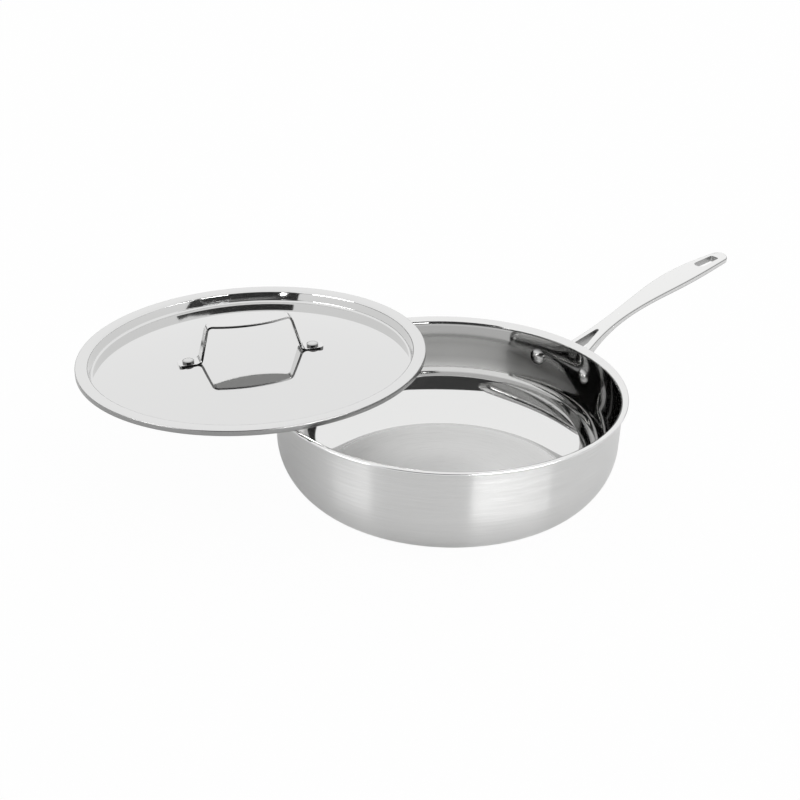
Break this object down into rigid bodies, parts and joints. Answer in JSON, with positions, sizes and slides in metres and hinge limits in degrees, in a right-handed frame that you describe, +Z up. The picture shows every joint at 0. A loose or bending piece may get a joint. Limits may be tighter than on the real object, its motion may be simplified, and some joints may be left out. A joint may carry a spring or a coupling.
{
  "type": "saute pan with lid",
  "caption": "Deep round-sided stainless steel saute pan with a long forked riveted handle and a recessed lid, with a strap handle, lying across the rim.",
  "frame": {"origin": "centre of the pan's flat base, on the table", "axes": "+X along the long handle, away from the pan; +Z up"},
  "size_m": [0.5903, 0.4417, 0.13],
  "materials": {
    "brushed_wall": "brushed round the wall",
    "core": "plain, bonded between the skins",
    "inside": "polished wall and lip, satin floor",
    "handle": "polished casting",
    "rivets": "polished",
    "lid": "mirror polished",
    "lid_handle": "polished"
  },
  "bodies": {
    "pan_body": {"pan_outer_skin": "brushed_wall", "pan_core": "core", "pan_inner_skin": "inside", "pan_handle": "handle", "pan_rivet_left": "rivets", "pan_rivet_right": "rivets"},
    "lid_body": {"lid": "lid", "lid_handle": "lid_handle", "lid_rivet_left": "rivets", "lid_rivet_right": "rivets"}
  },
  "joints": [
    {"name": "lid_lift", "type": "slide", "parent": "pan_body", "child": "lid_body", "axis": [0, 0, 1], "range_m": [0, 0.15]}
  ]
}
